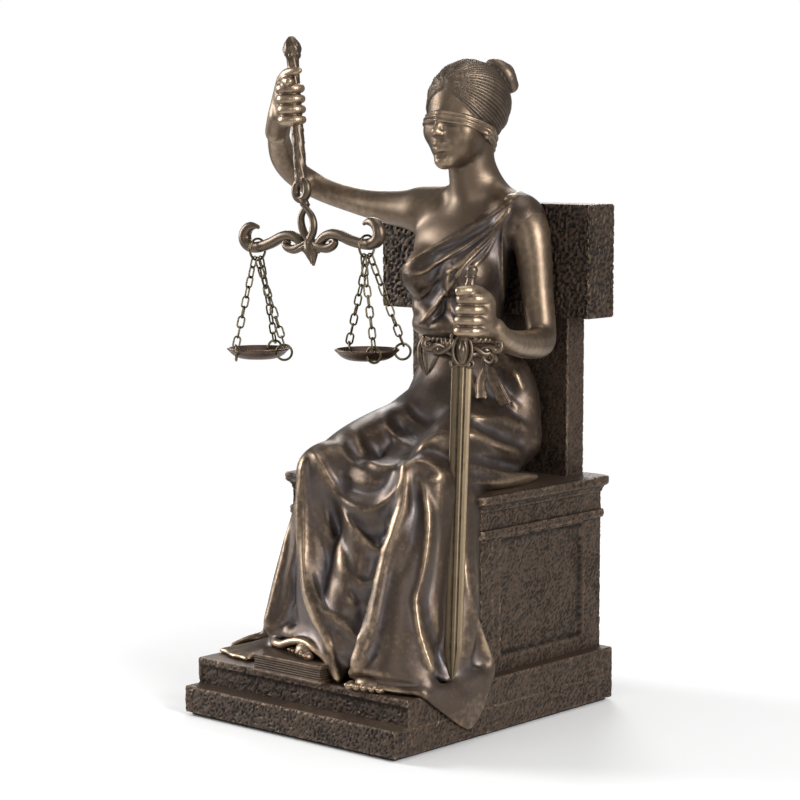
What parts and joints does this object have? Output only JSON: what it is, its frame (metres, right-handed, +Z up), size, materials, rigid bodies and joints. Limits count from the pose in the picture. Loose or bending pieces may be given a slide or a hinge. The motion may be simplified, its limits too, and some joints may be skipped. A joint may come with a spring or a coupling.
{
  "type": "seated justice statue",
  "caption": "Seated blindfolded figure on a block throne with backrest, holding a hanging balance on chains and a sword point down, on a stepped base.",
  "frame": {"origin": "middle of the underside, on the surface that the statue stands on", "axes": "+Z up, +X to the figure's left, -Y to the figure's front"},
  "size_m": [0.1603, 0.138, 0.2779],
  "materials": {
    "bronze": "bronze-coloured cast resin, brown patina with worn bright ridges and grey-violet hollows",
    "blade": "smooth olive bronze, satin",
    "brass_wire": "antique brass wire, satin",
    "pan_metal": "reddish brown metal, satin",
    "felt": "black felt, matt"
  },
  "bodies": {
    "root": {"statue": "bronze", "balance": "bronze", "sword": "blade", "felt_pad": "felt", "beam_ring_left": "brass_wire", "pan_left": "pan_metal", "chain_left_1": "brass_wire", "pan_ring_left_1": "brass_wire", "chain_left_2": "brass_wire", "pan_ring_left_2": "brass_wire", "chain_left_3": "brass_wire", "pan_ring_left_3": "brass_wire", "beam_ring_right": "brass_wire", "pan_right": "pan_metal", "chain_right_1": "brass_wire", "pan_ring_right_1": "brass_wire", "chain_right_2": "brass_wire", "pan_ring_right_2": "brass_wire", "chain_right_3": "brass_wire", "pan_ring_right_3": "brass_wire"}
  },
  "joints": []
}
